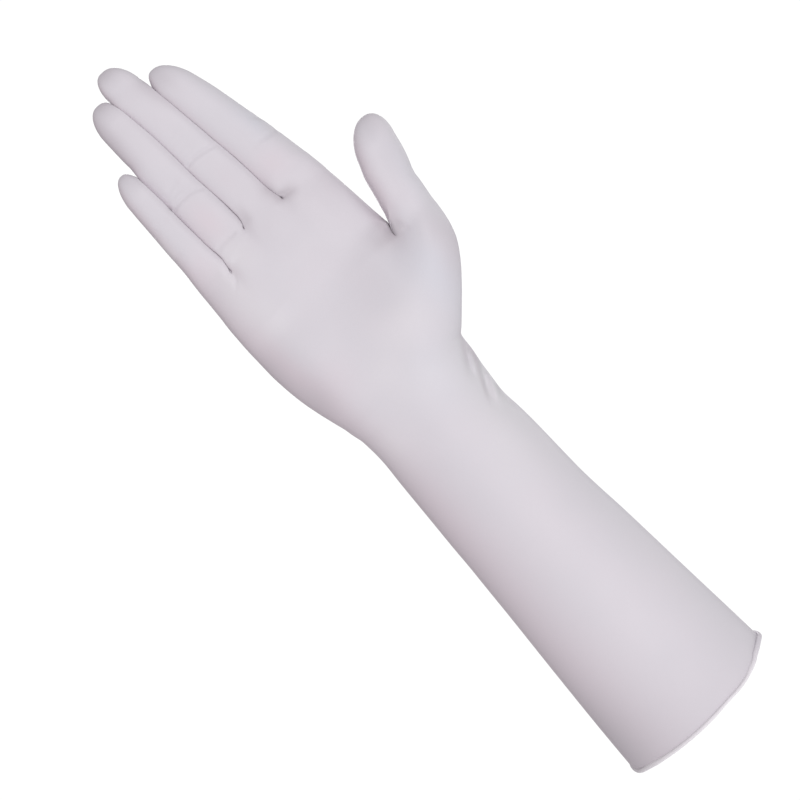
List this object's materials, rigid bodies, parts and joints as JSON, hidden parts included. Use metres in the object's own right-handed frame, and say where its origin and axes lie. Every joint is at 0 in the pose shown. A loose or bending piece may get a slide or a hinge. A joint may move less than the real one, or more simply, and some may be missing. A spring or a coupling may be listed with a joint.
{
  "type": "extended-cuff nitrile glove",
  "caption": "Long disposable glove for a right hand, worn shape, hollow, with a tapering sleeve and a rolled bead at its open cuff.",
  "frame": {"origin": "centre of the cuff's mouth, where the hand goes in", "axes": "+Z along the forearm towards the fingertips, -Y out of the palm, +X towards the thumb"},
  "size_m": [0.1037, 0.0684, 0.3564],
  "materials": {
    "nitrile_film": "smooth matte film, pale lilac grey"
  },
  "bodies": {
    "root": {"glove_film": "nitrile_film"}
  },
  "joints": []
}
